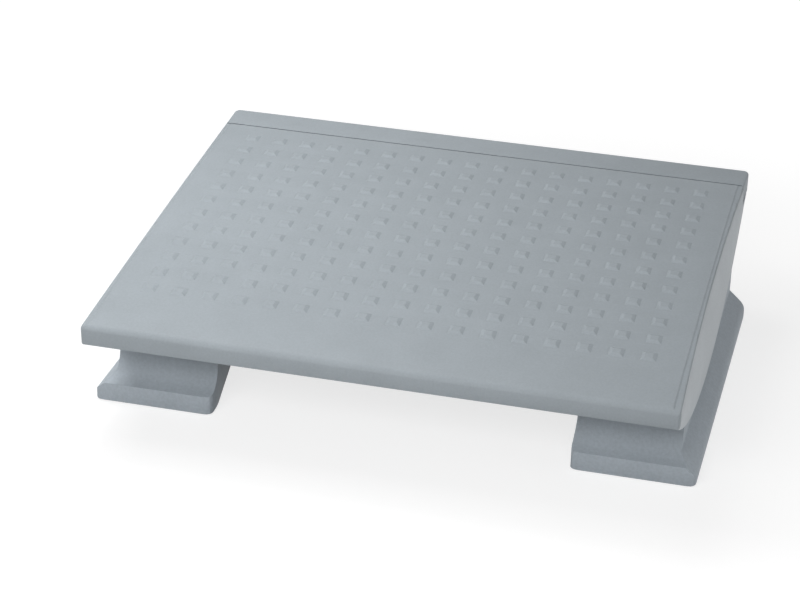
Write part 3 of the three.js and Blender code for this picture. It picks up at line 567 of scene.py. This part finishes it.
def disc_spring(side):
    node = f"disc_spring_{side}"
    carrier, lowest, highest = own_box(node)
    length = highest.x - lowest.x
    thickness = length - SPRING_RISE
    inner, outer = SPRING_RADII
    middle = (inner, SPRING_RISE + thickness / 2)
    loop = [middle, (inner, SPRING_RISE), (outer, 0), (outer, thickness), (inner, length), middle]
    mesh = turned(node, softened(loop, 0.25 * MM))
    place = facing_out(carrier, lowest, highest, side)
    add_piece(f"{node}_coned", mesh, place, "base", "spring_steel", node)


# Rubber under and on the feet

def sole_profile(stem):
    """Rounded face below with two grooves, the stem above."""
    radius, height, deep = SOLE_RADIUS, SOLE_HEIGHT, GROOVE_DEPTH
    face = [(0, 0), (0.34 * radius, 0), (0.38 * radius, deep), (0.46 * radius, deep),
            (0.5 * radius, 0), (0.66 * radius, 0), (0.7 * radius, deep), (0.76 * radius, deep),
            (0.8 * radius, 0)]
    rim = [(0.93 * radius, 0), (radius, 0.07 * radius), (radius, 0.9 * height),
           (0.97 * radius, height)]
    peg = [(STEM_RADIUS, height), (STEM_RADIUS, stem - STEM_CHAMFER), (STEM_TIP, stem), (0, stem)]
    return face + rim + peg


def soles():
    names = [node for node in slot_of if node.startswith("foot_sole")]
    _, lowest, highest = own_box(names[0])
    mesh = turned("sole", sole_profile(highest.z - lowest.z))
    for node in names:
        carrier, lowest, highest = own_box(node)
        place = standing(carrier, lowest, highest, lowest.z)
        add_piece(f"{node}_grooved", mesh, place, "base", "rubber", node)


def stop_profile():
    """Half section from the top of the dome down to the end of the stem."""
    radius, height = STOP_RADIUS, STOP_HEIGHT
    dome = [(0, 0), (0.5 * radius, -0.12 * MM), (0.82 * radius, -0.5 * MM),
            (0.97 * radius, -1.3 * MM)]
    wall = [(radius, -2.2 * MM), (radius, -0.86 * height), (0.96 * radius, -height)]
    tip = -height - STOP_STEM
    peg = [(STEM_RADIUS, -height), (STEM_RADIUS, tip + STEM_CHAMFER), (STEM_TIP, tip), (0, tip)]
    return dome + wall + peg


def stop_buttons():
    mesh = turned("stop", stop_profile())
    for node in slot_of:
        if node.startswith("stop_button"):
            carrier, lowest, highest = own_box(node)
            place = standing(carrier, lowest, highest, highest.z)
            add_piece(f"{node}_domed", mesh, place, "base", "rubber", node)


# Smooth round lips over the feet's bearing walls

def bearing_walls(side):
    """The (low x, high x) of the two bearing walls, read from what runs against them."""
    collar, inner = own_box(f"axle_collar_{side}"), own_box(f"friction_disc_inner_{side}")
    outer, washer = own_box(f"friction_disc_outer_{side}"), own_box(f"axle_washer_{side}")
    if side == "right":
        return [(collar[2].x + SEAM, inner[1].x - SEAM), (outer[2].x + SEAM, washer[1].x - SEAM)]
    return [(inner[2].x + SEAM, collar[1].x - SEAM), (washer[2].x + SEAM, outer[1].x - SEAM)]


def bearing_lips():
    start, sweep = math.pi / 2 + LIP_EASE, math.pi - 2 * LIP_EASE
    for side in ("right", "left"):
        for which, (x0, x1) in zip(("inner", "outer"), bearing_walls(side)):
            profile = ring_profile(*LIP_RADII, 0, x1 - x0, LIP_ROUND)
            mesh = turned("bearing_lip", profile, LIP_STEPS, start, sweep)
            place = along_x(AXLE, x0)
            add_piece(f"bearing_lip_{which}_{side}", mesh, place, "base", "foot_plastic")


for row in record["subparts"]:
    dress(row["node"])

round_edges("tread_plate", 0.7 * MM)
for node in ("cheek_right", "cheek_left", "foot_shell_right", "foot_shell_left"):
    round_edges(node, 0.5 * MM)
for node in ("pivot_bracket_right", "pivot_bracket_left"):
    round_edges(node, 0.4 * MM)
for node in slot_of:
    if node.startswith(("axle_collar", "axle_washer", "friction_disc", "pivot_bush")):
        if body_of[node] == "base":
            ring_on_axle(node, 0.3 * MM)
        else:
            round_edges(node, 0.2 * MM)
screws()
axle()
for side in ("right", "left"):
    lock_nut(side)
    spring_pin(side)
    disc_spring(side)
soles()
stop_buttons()
bearing_lips()


# Floor, world, lamps and camera

def seen_directly(tree):
    """1 for rays from the camera, gloss or glass, and 0 for the light on the object."""
    path = add_node(tree, "ShaderNodeLightPath")
    total = path.outputs["Is Camera Ray"]
    for ray in ("Is Glossy Ray", "Is Transmission Ray"):
        total = combined(tree, "MAXIMUM", total, path.outputs[ray])
    return total


def make_floor():
    """A pale floor that keeps the shadow, and lets the camera look up through it from below."""
    bpy.ops.mesh.primitive_plane_add(size=FLOOR_SIZE)
    floor = bpy.context.object
    floor.name = "floor"
    material, tree, shader = new_material("PaleFloor")
    shader.inputs["Roughness"].default_value = 1.0
    shader.inputs["Specular IOR Level"].default_value = 0.0
    shader.inputs["Emission Color"].default_value = (1, 1, 1, 1)
    seen = seen_directly(tree)
    tone = spread(tree, seen, FLOOR_ALBEDO, FLOOR_SEEN_ALBEDO, 0.0, 1.0)
    tree.links.new(tone, shader.inputs["Base Color"])
    place = add_node(tree, "ShaderNodeTexCoord")
    distance = add_node(tree, "ShaderNodeVectorMath", operation="LENGTH")
    tree.links.new(place.outputs["Object"], distance.inputs[0])
    glow = spread(tree, distance.outputs["Value"], FLOOR_GLOW_NEAR, FLOOR_GLOW_FAR,
                  FLOOR_GLOW_START, FLOOR_GLOW_END)
    strength = combined(tree, "MULTIPLY", glow, seen)
    tree.links.new(strength, shader.inputs["Emission Strength"])
    clear = add_node(tree, "ShaderNodeBsdfTransparent")
    either = add_node(tree, "ShaderNodeMixShader")
    side = add_node(tree, "ShaderNodeNewGeometry")
    tree.links.new(side.outputs["Backfacing"], either.inputs[0])
    tree.links.new(shader.outputs["BSDF"], either.inputs[1])
    tree.links.new(clear.outputs["BSDF"], either.inputs[2])
    tree.links.new(either.outputs["Shader"], tree.nodes["Material Output"].inputs["Surface"])
    floor.data.materials.append(material)


def make_world():
    world = bpy.data.worlds.new("Studio")
    bpy.context.scene.world = world
    world.use_nodes = True
    tree = world.node_tree
    sky = tree.nodes["Background"]
    sky.inputs["Color"].default_value = (1, 1, 1, 1)
    strength = spread(tree, seen_directly(tree), WORLD_LIGHT, 1.0, 0.0, 1.0)
    tree.links.new(strength, sky.inputs["Strength"])


def add_lamp(name, place, aim, size, power):
    data = bpy.data.lights.new(name, "AREA")
    data.shape = "RECTANGLE"
    data.size, data.size_y = size
    data.energy = power
    lamp = bpy.data.objects.new(name, data)
    bpy.context.scene.collection.objects.link(lamp)
    lamp.location = place
    lamp.rotation_euler = (Vector(aim) - Vector(place)).to_track_quat("-Z", "Y").to_euler()


def make_camera():
    data = bpy.data.cameras.new("PhotoCamera")
    data.lens = CAMERA_LENS
    data.sensor_width = CAMERA_SENSOR
    data.clip_end = 100
    camera = bpy.data.objects.new("PhotoCamera", data)
    bpy.context.scene.collection.objects.link(camera)
    turn = (
        Matrix.Rotation(math.radians(CAMERA_AZIMUTH), 4, "Z")
        @ Matrix.Rotation(math.radians(90 - CAMERA_ELEVATION), 4, "X")
        @ Matrix.Rotation(math.radians(CAMERA_ROLL), 4, "Z")
    )
    camera.matrix_world = Matrix.Translation(CAMERA_PLACE) @ turn
    bpy.context.scene.camera = camera


make_floor()
make_world()
make_camera()
for name, place, aim, size, power in LAMPS:
    add_lamp(name, place, aim, size, power)
bpy.context.scene.view_settings.view_transform = "Standard"
